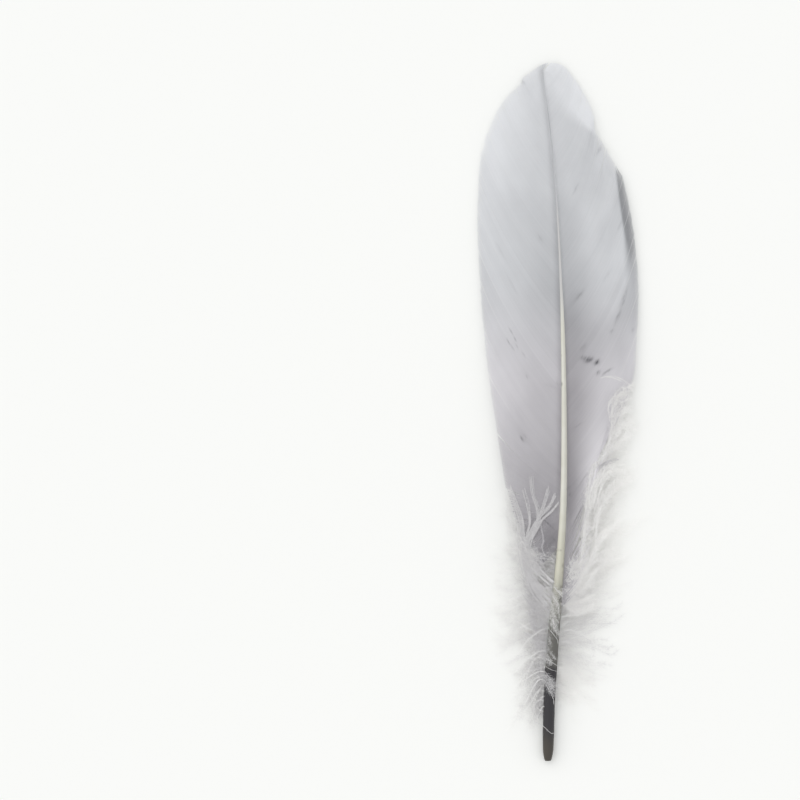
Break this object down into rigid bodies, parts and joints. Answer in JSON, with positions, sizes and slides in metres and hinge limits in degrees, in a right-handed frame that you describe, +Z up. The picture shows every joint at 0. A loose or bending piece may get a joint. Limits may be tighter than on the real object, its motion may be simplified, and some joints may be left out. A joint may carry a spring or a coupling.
{
  "type": "goose quill feather",
  "caption": "Broad grey goose feather with a pale shaft, smooth vanes, fluffy down and a dark bare quill end, lying flat.",
  "frame": {"origin": "on the surface that the feather lies on, below the middle of its overall box", "axes": "+Y along the shaft towards the tip, +Z up out of the surface, the outer face up"},
  "size_m": [0.0396, 0.17, 0.0052],
  "materials": {
    "shaft": "smooth horny keratin, cream with a dyed dark grey lower end",
    "vane": "soft matt barbs, dyed pale cool grey",
    "down": "loose fluffy down, off-white to pale grey"
  },
  "bodies": {
    "root": {"shaft": "shaft", "left_vane": "vane", "right_vane": "vane", "left_down": "down", "right_down": "down"}
  },
  "joints": []
}
